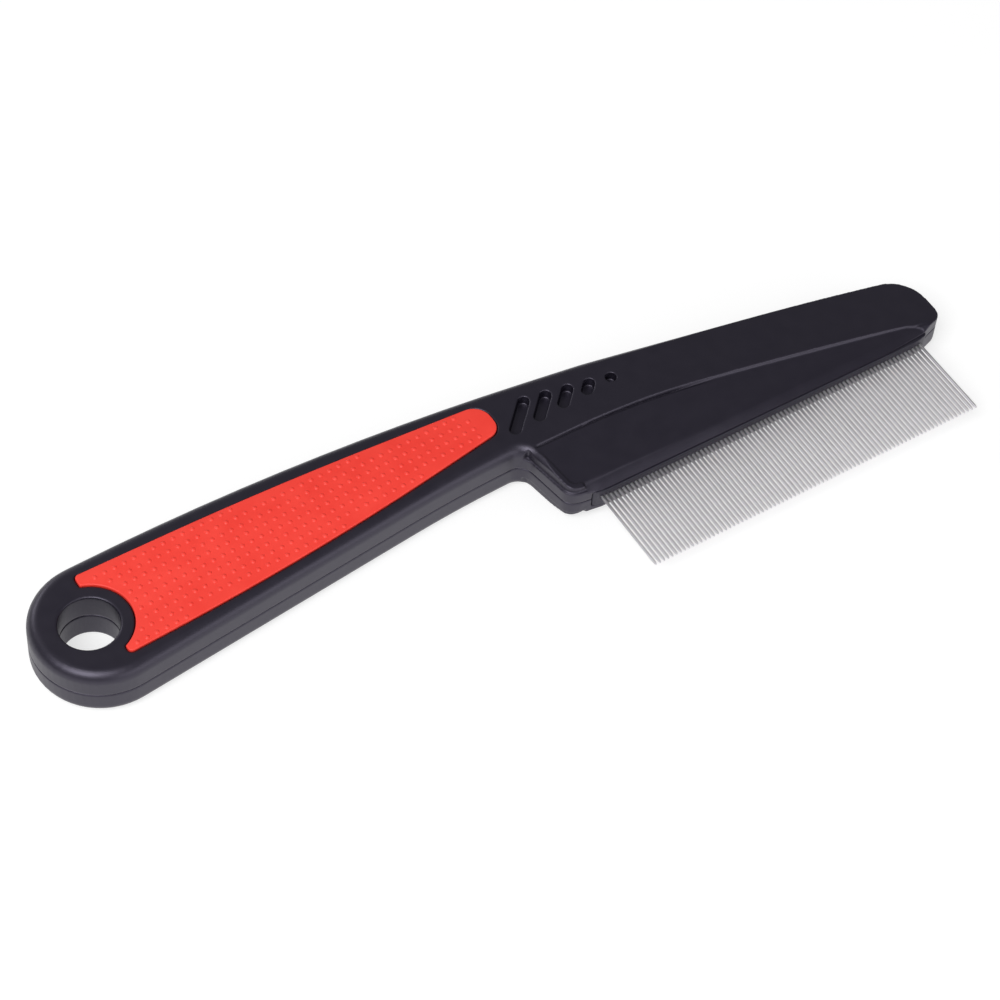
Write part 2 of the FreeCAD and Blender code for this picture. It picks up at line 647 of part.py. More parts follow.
def bar_key_places():
    """Keys that pass through the pin bar, spread between its ends."""
    first = value("heel_x + row_start - bar_lead + bar_key_margin")
    last = value("heel_x + row_start + row_length + bar_tail - bar_key_margin")
    count = int(size("bar_key_count"))
    y = value("bar_depth - head_depth - bar_proud - bar_key_inset")
    return [(first + (last - first) * number / (count - 1), y) for number in range(count)]


def handle_peg_places():
    return [(size("peg_first_x"), size("peg_y")), (value("notch_x - peg_last_setback"), size("peg_y"))]


def cut_bar_seat(body, side):
    """Half of the channel that the pin bar is clamped in, open on the pin side."""
    sketch = new_sketch(body, body.Label + "_bar_seat_sketch")
    closed_loop(sketch, [
        ("heel_x + row_start - bar_lead", "bar_depth - head_depth - bar_proud", None),
        ("heel_x + row_start - bar_lead", "- head_depth - bar_proud", None),
        ("heel_x + row_start + row_length + bar_tail", "- head_depth - bar_proud", None),
        ("heel_x + row_start + row_length + bar_tail", "bar_depth - head_depth - bar_proud", None),
    ])
    feature(body, "Pocket", body.Label + "_bar_seat", sketch, "bar_half", side > 0)


def hole_edges(shape, height):
    """Edges of the hanging hole at one height."""
    return edges_where(shape, lambda point: abs(math.hypot(point.x, point.y) - size("hole_radius")) < TOUCH
                       and abs(point.z - height) < TOUCH)


def shell(name, side):
    """One half of the housing; side 1 is the front half and -1 the rear half."""
    body = doc.addObject("PartDesign::Body", name)
    body.Label = name
    body.BaseFeature = shell_blank(name, side)
    body.setExpression("Placement.Base.z", formula("half"))
    doc.recompute()

    border = body.Tip.Shape
    seam = edges_where(border, lambda point: abs(point.z) < TOUCH)
    dress(body, "Chamfer", name + "_seam_edge", seam, "seam_chamfer")

    hole = new_sketch(body, name + "_hole_sketch")
    circles(hole, [(0, 0)], "hole_radius")
    cut = feature(body, "Pocket", name + "_hole", hole, "handle_thickness", side > 0)
    rim = hole_edges(cut.Shape, side * HALF)
    dress(body, "Chamfer", name + "_hole_rim", rim, "hole_chamfer")
    rim = hole_edges(body.Tip.Shape, 0.0)
    dress(body, "Chamfer", name + "_hole_seam", rim, "seam_chamfer")

    cut_head(body, side)
    face = FreeCAD.Placement(Vector(0, 0, side * HALF), FreeCAD.Rotation())
    recess = new_sketch(body, name + "_grip_sketch", offset=face)
    grip_outline(recess)
    feature(body, "Pocket", name + "_grip_recess", recess, "grip_recess", side < 0)
    cut_bar_seat(body, side)
    return body


def front_shell():
    body = shell("front_shell", 1)
    cut_slots(body)
    pegs = new_sketch(body, "front_shell_peg_sketch")
    circles(pegs, handle_peg_places(), "peg_radius")
    feature(body, "Pad", "front_shell_pegs", pegs, "peg_length", True)
    ceiling = FreeCAD.Placement(Vector(0, 0, value("bar_half")), FreeCAD.Rotation())
    keys = new_sketch(body, "front_shell_key_sketch", offset=ceiling)
    rectangles(keys, bar_key_places(), "bar_key_width", "bar_key_depth")
    feature(body, "Pad", "front_shell_keys", keys, "bar_height - peg_clearance", True)
    return body


def rear_shell():
    body = shell("rear_shell", -1)
    sockets = new_sketch(body, "rear_shell_socket_sketch")
    circles(sockets, handle_peg_places(), "peg_radius + peg_clearance")
    feature(body, "Pocket", "rear_shell_sockets", sockets, "peg_length + peg_clearance", False)
    return body


def grip(name, side, proud):
    """A soft grip that fills its recess; its wall leans in, so a fine gap shows round it."""
    body = doc.addObject("PartDesign::Body", name)
    body.Label = name
    sign = "+" if side > 0 else "-"
    body.setExpression("Placement.Base.z", f"sizes.handle_thickness / 2 {sign} "
                       "(sizes.handle_thickness / 2 - sizes.grip_recess)")
    sketch = new_sketch(body, name + "_sketch")
    grip_outline(sketch)
    pad = feature(body, "Pad", name + "_pad", sketch, "grip_recess" + proud, side < 0, "- grip_draft")
    if proud:
        top = value("grip_recess" + proud)
        rim = edges_where(pad.Shape, lambda point: abs(side * point.z - top) < TOUCH)
        dress(body, "Chamfer", name + "_edge", rim, "grip_edge_chamfer")
    return body


def pin_bar():
    """The moulded bar that holds the pins: a long block with a blind hole for each pin."""
    body = doc.addObject("PartDesign::Body", "pin_bar")
    body.Label = "pin_bar"
    body.setExpression("Placement.Base.z", formula("half"))
    outline = new_sketch(body, "pin_bar_sketch")
    closed_loop(outline, [
        ("heel_x + row_start - bar_lead", "bar_depth - head_depth - bar_proud", None),
        ("heel_x + row_start - bar_lead", "- head_depth - bar_proud", "bar_corner_radius"),
        ("heel_x + row_start + row_length + bar_tail", "- head_depth - bar_proud", "bar_corner_radius"),
        ("heel_x + row_start + row_length + bar_tail", "bar_depth - head_depth - bar_proud", None),
    ])
    feature(body, "Pad", "pin_bar_block", outline, "bar_height", SideType="Symmetric")
    keys = new_sketch(body, "pin_bar_key_sketch")
    rectangles(keys, bar_key_places(), "bar_key_width + peg_clearance + peg_clearance",
               "bar_key_depth + peg_clearance + peg_clearance")
    feature(body, "Pocket", "pin_bar_key_holes", keys, "bar_height + bar_height", SideType="Symmetric")

    front = FreeCAD.Placement(Vector(0, 0, value("head_depth + bar_proud")), FreeCAD.Rotation())
    seat = new_sketch(body, "pin_bar_seat_sketch", "XZ_Plane", front)
    first_pin = (value("heel_x + row_start"), 0)
    rectangles(seat, [first_pin], "pin_radius + pin_radius", "pin_radius + pin_radius")
    cut = feature(body, "Pocket", "pin_bar_seat", seat, "pin_hole_depth")
    row = body.newObject("PartDesign::LinearPattern", "pin_bar_seats")
    row.Originals = [cut]
    row.Direction = (seat, ["H_Axis"])
    row.setExpression("Length", formula("row_length"))
    row.setExpression("Occurrences", "sizes.pin_count")
    body.Tip = row
    doc.recompute()
    return body


def pin_group(number, count):
    """A few neighbouring pins of the row, each a straight wire with a ground tip."""
    name = f"pins_{number + 1:02d}"
    body = doc.addObject("PartDesign::Body", name)
    body.Label = name
    body.AllowCompound = True
    body.setExpression("Placement.Base.x", formula("heel_x + row_start")
                       + f" + {number} * sizes.pins_per_group * sizes.pin_pitch")
    body.setExpression("Placement.Base.y", formula("pin_hole_depth - head_depth - bar_proud"))
    body.setExpression("Placement.Base.z", formula("half"))
    section = new_sketch(body, name + "_sketch", "XZ_Plane")
    polygon(section, int(size("pin_sides")), "pin_radius")
    wire = feature(body, "Pad", name + "_wire", section, "pin_reach + pin_hole_depth - bar_proud")
    end = -value("pin_reach + pin_hole_depth - bar_proud")
    tip = body.newObject("PartDesign::Chamfer", name + "_tip")
    rim = edges_where(wire.Shape, lambda point: abs(point.y - end) < TOUCH)
    tip.Base = (wire, [f"Edge{edge}" for edge in rim])
    tip.ChamferType = "Two distances"
    tip.setExpression("Size", "sizes.pin_tip_length")
    tip.setExpression("Size2", "sizes.pin_tip_narrowing")
    doc.recompute()
    body.Tip = tip
    if count > 1:
        row = body.newObject("PartDesign::LinearPattern", name + "_row")
        row.TransformMode = "Whole shape"
        row.Direction = (base_item(body, "X_Axis"), [""])
        row.setExpression("Length", f"{count - 1} * sizes.pin_pitch")
        row.Occurrences = count
        body.Tip = row
    return body


subparts = [front_shell(), rear_shell(), grip("front_grip", 1, " + grip_proud"), grip("rear_grip", -1, "")]
subparts.append(pin_bar())
pin_count, per_group = int(size("pin_count")), int(size("pins_per_group"))
for group, first in enumerate(range(0, pin_count, per_group)):
    subparts.append(pin_group(group, min(per_group, pin_count - first)))
doc.recompute()

for item in doc.Objects:
    if "Invalid" in item.State or "Error" in item.State:
        raise ValueError(f"{item.Name} is not built: {item.State}")
os.makedirs("parts", exist_ok=True)
for part in subparts:
    if part.Shape.isNull() or not part.Shape.isValid():
        raise ValueError(f"{part.Label} has no valid shape")
    part.Shape.exportStep(os.path.join("parts", part.Label + ".step"))
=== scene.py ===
import math

import bmesh
import bpy
from mathutils import Matrix, Vector


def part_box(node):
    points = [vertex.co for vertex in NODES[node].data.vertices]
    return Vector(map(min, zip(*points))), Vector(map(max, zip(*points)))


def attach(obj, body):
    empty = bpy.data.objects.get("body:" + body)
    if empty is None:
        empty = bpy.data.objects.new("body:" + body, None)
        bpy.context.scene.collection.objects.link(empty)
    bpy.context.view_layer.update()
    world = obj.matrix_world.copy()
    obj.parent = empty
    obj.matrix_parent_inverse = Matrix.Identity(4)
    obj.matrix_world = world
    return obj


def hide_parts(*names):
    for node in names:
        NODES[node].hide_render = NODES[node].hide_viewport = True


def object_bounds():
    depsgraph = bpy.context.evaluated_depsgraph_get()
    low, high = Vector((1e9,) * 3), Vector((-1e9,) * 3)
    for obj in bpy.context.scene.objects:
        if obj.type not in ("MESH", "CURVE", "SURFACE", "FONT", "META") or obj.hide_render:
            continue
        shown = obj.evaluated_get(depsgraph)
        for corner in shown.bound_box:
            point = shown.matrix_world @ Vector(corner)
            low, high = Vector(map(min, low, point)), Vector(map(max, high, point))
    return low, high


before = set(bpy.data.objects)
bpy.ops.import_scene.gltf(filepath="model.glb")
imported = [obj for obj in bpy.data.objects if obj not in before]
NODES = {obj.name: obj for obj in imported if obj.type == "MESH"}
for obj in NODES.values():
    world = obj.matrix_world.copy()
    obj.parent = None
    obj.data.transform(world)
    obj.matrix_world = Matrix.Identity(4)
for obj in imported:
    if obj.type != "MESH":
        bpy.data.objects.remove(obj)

MM = 0.001
CAD_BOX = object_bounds()
PINS = sorted(name for name in NODES if name.startswith("pins_"))


# ---------------------------------------------------------------- node helpers

NOISE_RANGE = (0.3, 0.7)  # most values of a noise texture lie between these


def new_material(name):
    """An empty node material with one Principled shader."""
    material = bpy.data.materials.new(name)
    material.use_nodes = True
    tree = material.node_tree
    tree.nodes.clear()
    output = tree.nodes.new("ShaderNodeOutputMaterial")
    shader = tree.nodes.new("ShaderNodeBsdfPrincipled")
    tree.links.new(shader.outputs["BSDF"], output.inputs["Surface"])
    return material, tree, shader


def position(tree, stretch=(1.0, 1.0, 1.0)):
    """Object coordinates in millimetres, stretched per axis."""
    coordinates = tree.nodes.new("ShaderNodeTexCoord")
    mapping = tree.nodes.new("ShaderNodeMapping")
    mapping.inputs["Scale"].default_value = [s / MM for s in stretch]
    tree.links.new(coordinates.outputs["Object"], mapping.inputs["Vector"])
    return mapping.outputs["Vector"]


def noise(tree, vector, scale, detail):
    """Noise with a scale per millimetre."""
    texture = tree.nodes.new("ShaderNodeTexNoise")
    texture.inputs["Scale"].default_value = scale
    texture.inputs["Detail"].default_value = detail
    texture.inputs["Roughness"].default_value = 0.5
    tree.links.new(vector, texture.inputs["Vector"])
    return texture.outputs["Fac"]


def spread(tree, value, low, high):
    """A noise value mapped to the range from low to high."""
    node = tree.nodes.new("ShaderNodeMapRange")
    node.inputs["From Min"].default_value = NOISE_RANGE[0]
    node.inputs["From Max"].default_value = NOISE_RANGE[1]
    node.inputs["To Min"].default_value = low
    node.inputs["To Max"].default_value = high
    tree.links.new(value, node.inputs["Value"])
    return node.outputs["Result"]


def two_colours(tree, factor, first, second):
    """A mix of two colours."""
    node = tree.nodes.new("ShaderNodeMix")
    node.data_type = "RGBA"
    node.inputs["A"].default_value = (*first, 1.0)
    node.inputs["B"].default_value = (*second, 1.0)
    tree.links.new(factor, node.inputs["Factor"])
    return node.outputs["Result"]


def mottled(tree, shader, mottle, colours, rough):
    """Base colour and roughness that drift a little with a noise value."""
    tone = spread(tree, mottle, 0.0, 1.0)
    tree.links.new(two_colours(tree, tone, *colours), shader.inputs["Base Color"])
    tree.links.new(spread(tree, mottle, *rough), shader.inputs["Roughness"])


def grained(tree, shader, place, scale, depth, strength):
    """A fine moulded grain, too small to be modelled."""
    grain = noise(tree, place, scale, detail=2.0)
    node = tree.nodes.new("ShaderNodeBump")
    node.inputs["Distance"].default_value = depth
    node.inputs["Strength"].default_value = strength
    tree.links.new(grain, node.inputs["Height"])
    tree.links.new(node.outputs["Normal"], shader.inputs["Normal"])


# ---------------------------------------------------------------- materials

def shell_plastic(name):
    """Satin black moulded plastic with a faint violet cast and a fine spark-eroded grain."""
    material, tree, shader = new_material(name)
    place = position(tree)
    mottled(tree, shader, noise(tree, place, scale=0.35, detail=4.0),
            colours=((0.0062, 0.0052, 0.0104), (0.0078, 0.0066, 0.0122)), rough=(0.39, 0.43))
    grained(tree, shader, place, scale=5.5, depth=0.02 * MM, strength=0.35)
    shader.inputs["Specular IOR Level"].default_value = 0.8
    shader.inputs["Specular Tint"].default_value = (0.85, 0.79, 1.0, 1.0)
    return material


def grip_rubber():
    """Soft matte red thermoplastic rubber."""
    material, tree, shader = new_material("grip_rubber_look")
    place = position(tree)
    mottled(tree, shader, noise(tree, place, scale=0.25, detail=4.0),
            colours=((0.92, 0.046, 0.030), (0.97, 0.056, 0.037)), rough=(0.48, 0.56))
    grained(tree, shader, place, scale=7.0, depth=0.015 * MM, strength=0.3)
    return material


def bar_plastic():
    """The same black plastic, a little duller, for the bar between the halves."""
    material, tree, shader = new_material("bar_plastic_look")
    mottled(tree, shader, noise(tree, position(tree), scale=0.8, detail=3.0),
            colours=((0.0080, 0.0068, 0.0125), (0.0110, 0.0095, 0.0160)), rough=(0.42, 0.52))
    shader.inputs["Specular IOR Level"].default_value = 0.7
    shader.inputs["Specular Tint"].default_value = (0.86, 0.82, 1.0, 1.0)
    return material


def pin_steel():
    """Ground stainless wire: bright, faintly streaked, with glints that stretch along each pin."""
    material, tree, shader = new_material("pin_steel_look")
    place = position(tree, stretch=(6.0, 0.12, 6.0))
    mottled(tree, shader, noise(tree, place, scale=1.0, detail=3.0),
            colours=((0.64, 0.62, 0.65), (0.73, 0.71, 0.74)), rough=(0.46, 0.54))
    shader.inputs["Metallic"].default_value = 1.0
    shader.inputs["Anisotropic"].default_value = 0.8
    along = tree.nodes.new("ShaderNodeTangent")
    along.direction_type = "UV_MAP"
    along.uv_map = "along"
    tree.links.new(along.outputs["Tangent"], shader.inputs["Tangent"])
    return material


def paint(piece, material):
    piece.data.materials.clear()
    piece.data.materials.append(material)


LOOKS = {
    "front_shell": shell_plastic("front_shell_look"),
    "rear_shell": shell_plastic("rear_shell_look"),
    "grip": grip_rubber(),
    "pin_bar": bar_plastic(),
    "pins": pin_steel(),
}
for name, node in NODES.items():
    look = "grip" if name.endswith("grip") else "pins" if name in PINS else name
    paint(node, LOOKS[look])


# ---------------------------------------------------------------- sizes of the moulded pieces
# All in the frame's axes and in millimetres: x runs from the hanging hole to the nose, the pins
# point along -y, and z is the height over the rear face. A _RUN says where a form starts, how
# long it takes to grow in, where it ends, and how long it takes to fade out before that.

# The bar's channel in each half, and the bar's top: the level in CAD and the one it is moved to.
# On the rear half this closes a step beside the seam that only shows at the bar's ends.
LEVELS = {"front_shell": (7.3, 7.1), "pin_bar": (7.3, 7.1), "rear_shell": (4.6, 5.3)}
LEVEL_TOLERANCE = 0.01

# The part of the front half that is reshaped: its length, and its lowest height.
HEAD = (87.0, 172.5)
HEAD_FLOOR = 7.15

# The shells' pin side leans out over the bar.
PIN_SIDE = -17.5
OVERHANG = 0.75
OVERHANG_RUN = (89.5, 5.0, 170.0, 12.0)

# The strip above the pins falls from its height at its top edge to a lip over the bar.
STRIP_TOP = -16.6
STRIP_HEIGHT = 8.41
STRIP_LIP = 7.3
STRIP_MARGIN = 0.05
STRIP_CURVE = 1.1
STRIP_RUN = (91.0, 2.0, 169.0, 4.0)

# The sloped panel: its height at one corner, its rise along y and its fall along x. Near the
# nose it is cut on from the crease's foot, with a steep wall.
PANEL_CORNER = (91.3, -16.02)
PANEL_HEIGHT = 8.86
PANEL_RISE = 0.1594
PANEL_FALL = 0.0141
PANEL_CUT_START = 160.0
PANEL_CUT_END = 169.5
PANEL_CUT_FADE = 4.5
PANEL_WALL = 0.3

# The crease between the face and the panel, and how far it is moved towards the pins.
CREASE = ((99.35, -5.87), (115.38, -6.87), (131.29, -9.05))
CREASE_END = (163.86, -14.75)
CREASE_SLOPE = (CREASE[-1][1] - CREASE_END[1]) / (CREASE_END[0] - CREASE[-1][0])
CREASE_SHIFT = 0.32
CREASE_SHIFT_RUN = (112.0, 15.0, 172.0, 6.0)
CREASE_REACH = 2.0

# The fine groove at the crease's foot.
GROOVE_DEPTH = 0.55
GROOVE_RUN = (87.2, 1.2, 126.0, 10.0)
GROOVE_OFFSET = 0.04
GROOVE_REACH = 0.42

# The bar stands out of the shells in CAD by BAR_DEPTH over BAR_BACK; here its front is moved.
BAR_ENDS = (92.33, 167.84)
BAR_BACK = -17.4
BAR_DEPTH = 0.65
BAR_END_FRONT = -18.1
BAR_SWELL = 0.45
BAR_SWELL_FADE = 3.5


# ---------------------------------------------------------------- moulded pieces

def loose(name, mesh):
    """An object for work in progress."""
    rough = bpy.data.objects.new(name, mesh)
    bpy.context.scene.collection.objects.link(rough)
    return rough


def baked(rough, *kinds):
    """The mesh of an object after modifiers, each given with its settings; the object goes."""
    for kind, settings in kinds:
        modifier = rough.modifiers.new(kind.lower(), kind)
        for setting, value in settings.items():
            setattr(modifier, setting, value)
    graph = bpy.context.evaluated_depsgraph_get()
    mesh = bpy.data.meshes.new_from_object(
        rough.evaluated_get(graph), preserve_all_data_layers=True, depsgraph=graph)
    bpy.data.objects.remove(rough)
    return mesh


def softened(node, voxel, rounds, share, reshape):
    """A moulded piece: the CAD form, closed round the bar, with its sharp edges rounded."""
    start = NODES[node].data.copy()
    level, moved = LEVELS[node]
    for corner in start.vertices:
        if abs(corner.co.z - level * MM) < LEVEL_TOLERANCE * MM:
            corner.co.z = moved * MM
    even = {"mode": "VOXEL", "voxel_size": voxel, "use_smooth_shade": True}
    mesh = baked(loose(node + "_even", start), ("REMESH", even),
                 ("SMOOTH", {"factor": 0.5, "iterations": rounds}))
    for corner in mesh.vertices:
        reshape(corner.co)
    return baked(loose(node + "_thin", mesh), ("SMOOTH", {"factor": 0.5, "iterations": 2}),
                 ("DECIMATE", {"ratio": share}), ("WEIGHTED_NORMAL", {}))


def clamped(value):
    return max(0.0, min(1.0, value))


def faded(amount, x, run):
    """An amount that grows in and fades out along a run."""
    start, rise, end, fall = run
    return amount * clamped((x - start) / rise) * clamped((end - x) / fall)


def hump(offset, reach):
    """1 in the middle and 0 at the reach on either side, smoothly."""
    return 0.5 + 0.5 * math.cos(math.pi * offset / reach)


def panel_height(x, y):
    """Height of the head's sloped panel."""
    return PANEL_HEIGHT + PANEL_RISE * (y - PANEL_CORNER[1]) - PANEL_FALL * (x - PANEL_CORNER[0])


def crease_y(x):
    """The crease's line across the head: a parabola through its three points, then straight."""
    if x > CREASE[-1][0]:
        return CREASE[-1][1] - CREASE_SLOPE * (x - CREASE[-1][0])
    x = max(x, CREASE[0][0])
    total = 0.0
    for here, (one, y) in enumerate(CREASE):
        part = y
        for there, (other, _) in enumerate(CREASE):
            if there != here:
                part *= (x - other) / (one - other)
        total += part
    return total


def lean_out(place):
    """The shells' pin side leans out over the bar."""
    x, y = place.x / MM, place.y / MM
    overhang = faded(OVERHANG, x, OVERHANG_RUN)
    place.y -= overhang * clamped((STRIP_TOP - y) / (STRIP_TOP - PIN_SIDE)) * MM


def head_finish(place):
    """The front half's fine forms: the strip above the pins, the crease and its groove."""
    lean_out(place)
    x, y, z = place / MM
    if not HEAD[0] < x < HEAD[1] or z < HEAD_FLOOR:
        return
    if y < STRIP_TOP and x > STRIP_RUN[0] and z > STRIP_LIP + STRIP_MARGIN:
        edge = min(panel_height(x, STRIP_TOP), STRIP_HEIGHT)
        width = STRIP_TOP - PIN_SIDE + faded(OVERHANG, x, OVERHANG_RUN)
        line = edge + (STRIP_LIP - edge) * clamped((STRIP_TOP - y) / width) ** STRIP_CURVE
        z += faded(line - z, x, STRIP_RUN)
    offset = crease_y(x) - y
    moved = faded(CREASE_SHIFT, x, CREASE_SHIFT_RUN)
    if x > PANEL_CUT_START and offset > moved:
        cut = min(0.0, panel_height(x, y) - z)
        cut *= clamped((offset - moved) / PANEL_WALL)
        z += cut * clamped((PANEL_CUT_END - x) / PANEL_CUT_FADE)
    if abs(offset) < CREASE_REACH:
        y -= moved * hump(offset, CREASE_REACH)
    offset -= GROOVE_OFFSET
    if abs(offset) < GROOVE_REACH:
        z -= faded(GROOVE_DEPTH, x, GROOVE_RUN) * hump(offset, GROOVE_REACH)
    place.y, place.z = y * MM, z * MM


def bar_finish(place):
    """The bar stands further out between the halves, and comes back to them at its ends."""
    x, y = place.x / MM, place.y / MM
    if y < BAR_BACK:
        run = clamped(min(x - BAR_ENDS[0], BAR_ENDS[1] - x) / BAR_SWELL_FADE)
        front = BAR_END_FRONT - BAR_SWELL * (3.0 - 2.0 * run) * run * run
        place.y = (BAR_BACK + (y - BAR_BACK) * (BAR_BACK - front) / BAR_DEPTH) * MM


# ---------------------------------------------------------------- grips

OUTLINE_STEP = 0.9 * MM
SAME_PLACE = 1e-6
SHARPEST_CORNER = 0.5

RIM_RADIUS = 0.25 * MM
RIM_GAP = 0.17 * MM
RIM_STEPS = 5

# The dots: the steps along and across their rows, one dot's place, the circles of one dot as
# radius and height in millimetres, and how far they keep off the edge and the round end.
DOT_ALONG = Vector((1.962, 0.075)) * MM
DOT_ACROSS = Vector((0.020, 1.965)) * MM
DOT_START = Vector((-0.60, -0.16)) * MM
DOT_COLUMNS = range(-5, 50)
DOT_ROWS = range(-12, 12)
DOT_RINGS = [(0.52, -0.02), (0.42, 0.03), (0.34, 0.11), (0.21, 0.18), (0.08, 0.21)]
DOT_SIDES = 12
DOT_MARGIN = 1.0 * MM
DOTS_END = 80.6 * MM


def flat_outline(node, height):
    """Corner points of the flat face of a CAD piece at that height, in order."""
    mesh = bmesh.new()
    mesh.from_mesh(NODES[node].data)
    bmesh.ops.remove_doubles(mesh, verts=mesh.verts, dist=SAME_PLACE)
    flat = {face for face in mesh.faces
            if all(abs(corner.co.z - height) < SAME_PLACE for corner in face.verts)}
    border = {}
    for edge in mesh.edges:
        if sum(face in flat for face in edge.link_faces) == 1:
            for here, there in (edge.verts, reversed(edge.verts)):
                border.setdefault(here, []).append(there)
    start = next(iter(border))
    loop, last = [start], None
    while True:
        ahead = [corner for corner in border[loop[-1]] if corner is not last]
        last = loop[-1]
        if ahead[0] is start:
            break
        loop.append(ahead[0])
    points = [Vector((corner.co.x, corner.co.y)) for corner in loop]
    mesh.free()
    turn = sum(a.x * b.y - b.x * a.y for a, b in zip(points, points[1:] + points[:1]))
    return points if turn > 0 else points[::-1]


def evened(points, step):
    """The same closed line with a point about every step."""
    line = []
    for a, b in zip(points, points[1:] + points[:1]):
        parts = max(1, round((b - a).length / step))
        line += [a.lerp(b, k / parts) for k in range(parts)]
    return line


def grown(points, distance):
    """A closed line moved outwards by a small distance."""
    moved = []
    for before, here, after in zip(points[-1:] + points[:-1], points, points[1:] + points[:1]):
        one = (here - before).normalized()
        two = (after - here).normalized()
        out = Vector((one.y + two.y, -one.x - two.x)).normalized()
        across = max(out.dot(Vector((one.y, -one.x))), SHARPEST_CORNER)
        moved.append(here + out * distance / across)
    return moved


def edge_distance(point, points):
    """How far inside a closed line a point lies; negative outside."""
    inside = False
    nearest = 1.0
    for a, b in zip(points, points[1:] + points[:1]):
        along = max(0.0, min(1.0, (point - a).dot(b - a) / (b - a).length_squared))
        nearest = min(nearest, (point - a.lerp(b, along)).length)
        if (a.y > point.y) != (b.y > point.y):
            crossing = a.x + (point.y - a.y) / (b.y - a.y) * (b.x - a.x)
            if point.x < crossing:
                inside = not inside
    return nearest if inside else -nearest


def circle_around(mesh, x, y, height, radius):
    """The corners of one circle of a dot."""
    return [mesh.verts.new((x + radius * math.cos(math.tau * k / DOT_SIDES),
                            y + radius * math.sin(math.tau * k / DOT_SIDES),
                            height)) for k in range(DOT_SIDES)]


def ring_faces(mesh, lower, upper):
    """A band of faces between two rings of corners."""
    count = len(lower)
    for k in range(count):
        mesh.faces.new((lower[k], lower[(k + 1) % count], upper[(k + 1) % count], upper[k]))


def dot_places(outline):
    """Square rows of small dots, kept off the edge and off the plain round end."""
    places = []
    for column in DOT_COLUMNS:
        for row in DOT_ROWS:
            place = DOT_START + DOT_ALONG * column + DOT_ACROSS * row
            if place.x < DOTS_END and edge_distance(place, outline) > DOT_MARGIN:
                places.append(place)
    return places


def dotted_grip(node, side, floor, top):
    """Rubber grip with a rounded edge and raised dots; side is 1 in front and -1 at the rear."""
    low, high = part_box(node)
    outline = evened(flat_outline(node, low.z if side > 0 else high.z), OUTLINE_STEP)
    mesh = bmesh.new()
    profile = [(-RIM_GAP, floor)]
    for step in range(RIM_STEPS + 1):
        angle = math.radians(90 / RIM_STEPS * step)
        profile.append((RIM_RADIUS * (math.cos(angle) - 1.0) - RIM_GAP,
                        top - side * RIM_RADIUS * (1.0 - math.sin(angle))))
    rings = [[mesh.verts.new((point.x, point.y, height)) for point in grown(outline, out)]
             for out, height in profile]
    for lower, upper in zip(rings, rings[1:]):
        ring_faces(mesh, lower, upper)
    mesh.faces.new(rings[-1])
    mesh.faces.new(rings[0][::-1])
    for place in dot_places(outline):
        rings = [circle_around(mesh, place.x, place.y, top + side * height * MM, radius * MM)
                 for radius, height in DOT_RINGS]
        for lower, upper in zip(rings, rings[1:]):
            ring_faces(mesh, lower, upper)
        mesh.faces.new(rings[-1])
    if side < 0:
        bmesh.ops.reverse_faces(mesh, faces=mesh.faces)
    for face in mesh.faces:
        face.smooth = True
    data = bpy.data.meshes.new(node + "_dotted")
    mesh.to_mesh(data)
    mesh.free()
    return data


# ---------------------------------------------------------------- pins

# A pin's tip is given as heights in millimetres, each with its share of the radius.
PIN_SIDES = 16
PIN_TIP = ((0.75, 1.0), (0.45, 0.90), (0.15, 0.62), (0.03, 0.38), (0.0, 0.12))
PIN_APART = 0.25 * MM


def pin_boxes(node):
    """Lowest and highest corner of each loose pin in a CAD node."""
    points = [vertex.co for vertex in NODES[node].data.vertices]
    points.sort(key=lambda point: point.x)
    groups = [[points[0]]]
    for point in points[1:]:
        if point.x - groups[-1][-1].x > PIN_APART:
            groups.append([])
        groups[-1].append(point)
    boxes = []
    for group in groups:
        boxes.append((Vector(min(p[k] for p in group) for k in range(3)),
                      Vector(max(p[k] for p in group) for k in range(3))))
    return boxes


def round_pins():
    """Every pin of the row as a round steel wire with a ground, rounded tip.

    The UV map runs along each pin and gives the direction in which its glints stretch.
    """
    mesh = bmesh.new()
    along = mesh.loops.layers.uv.new("along")
    for node in PINS:
        for low, high in pin_boxes(node):
            x = (low.x + high.x) / 2
            z = (low.z + high.z) / 2
            radius = (high.z - low.z) / 2
            rings = [(high.y, radius)]
            rings += [(low.y + height * MM, radius * share) for height, share in PIN_TIP]
            circles = [[mesh.verts.new((x + r * math.cos(math.tau * k / PIN_SIDES), y,
                                        z + r * math.sin(math.tau * k / PIN_SIDES)))
                        for k in range(PIN_SIDES)] for y, r in rings]
            for upper, lower in zip(circles, circles[1:]):
                ring_faces(mesh, upper, lower)
            mesh.faces.new(circles[-1])
            mesh.faces.new(circles[0][::-1])
            corners = {corner: k for circle in circles for k, corner in enumerate(circle)}
            for face in {face for corner in corners for face in corner.link_faces}:
                wraps = {corners[corner] for corner in face.verts} == {0, PIN_SIDES - 1}
                for loop in face.loops:
                    k = corners[loop.vert]
                    turn = PIN_SIDES if wraps and k == 0 else k
                    loop[along].uv = (loop.vert.co.y / MM, turn / PIN_SIDES)
    bmesh.ops.recalc_face_normals(mesh, faces=mesh.faces)
    for face in mesh.faces:
        face.smooth = len(face.verts) == 4
    data = bpy.data.meshes.new("pin_row")
    mesh.to_mesh(data)
    mesh.free()
    return data


# ---------------------------------------------------------------- the pieces

def add_piece(name, mesh, look, slot, *nodes):
    """A finished piece that stands for CAD nodes and moves with the root body."""
    piece = bpy.data.objects.new(name, mesh)
    bpy.context.scene.collection.objects.link(piece)
    paint(piece, LOOKS[look])
    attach(piece, "root")
    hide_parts(*nodes)
    return piece


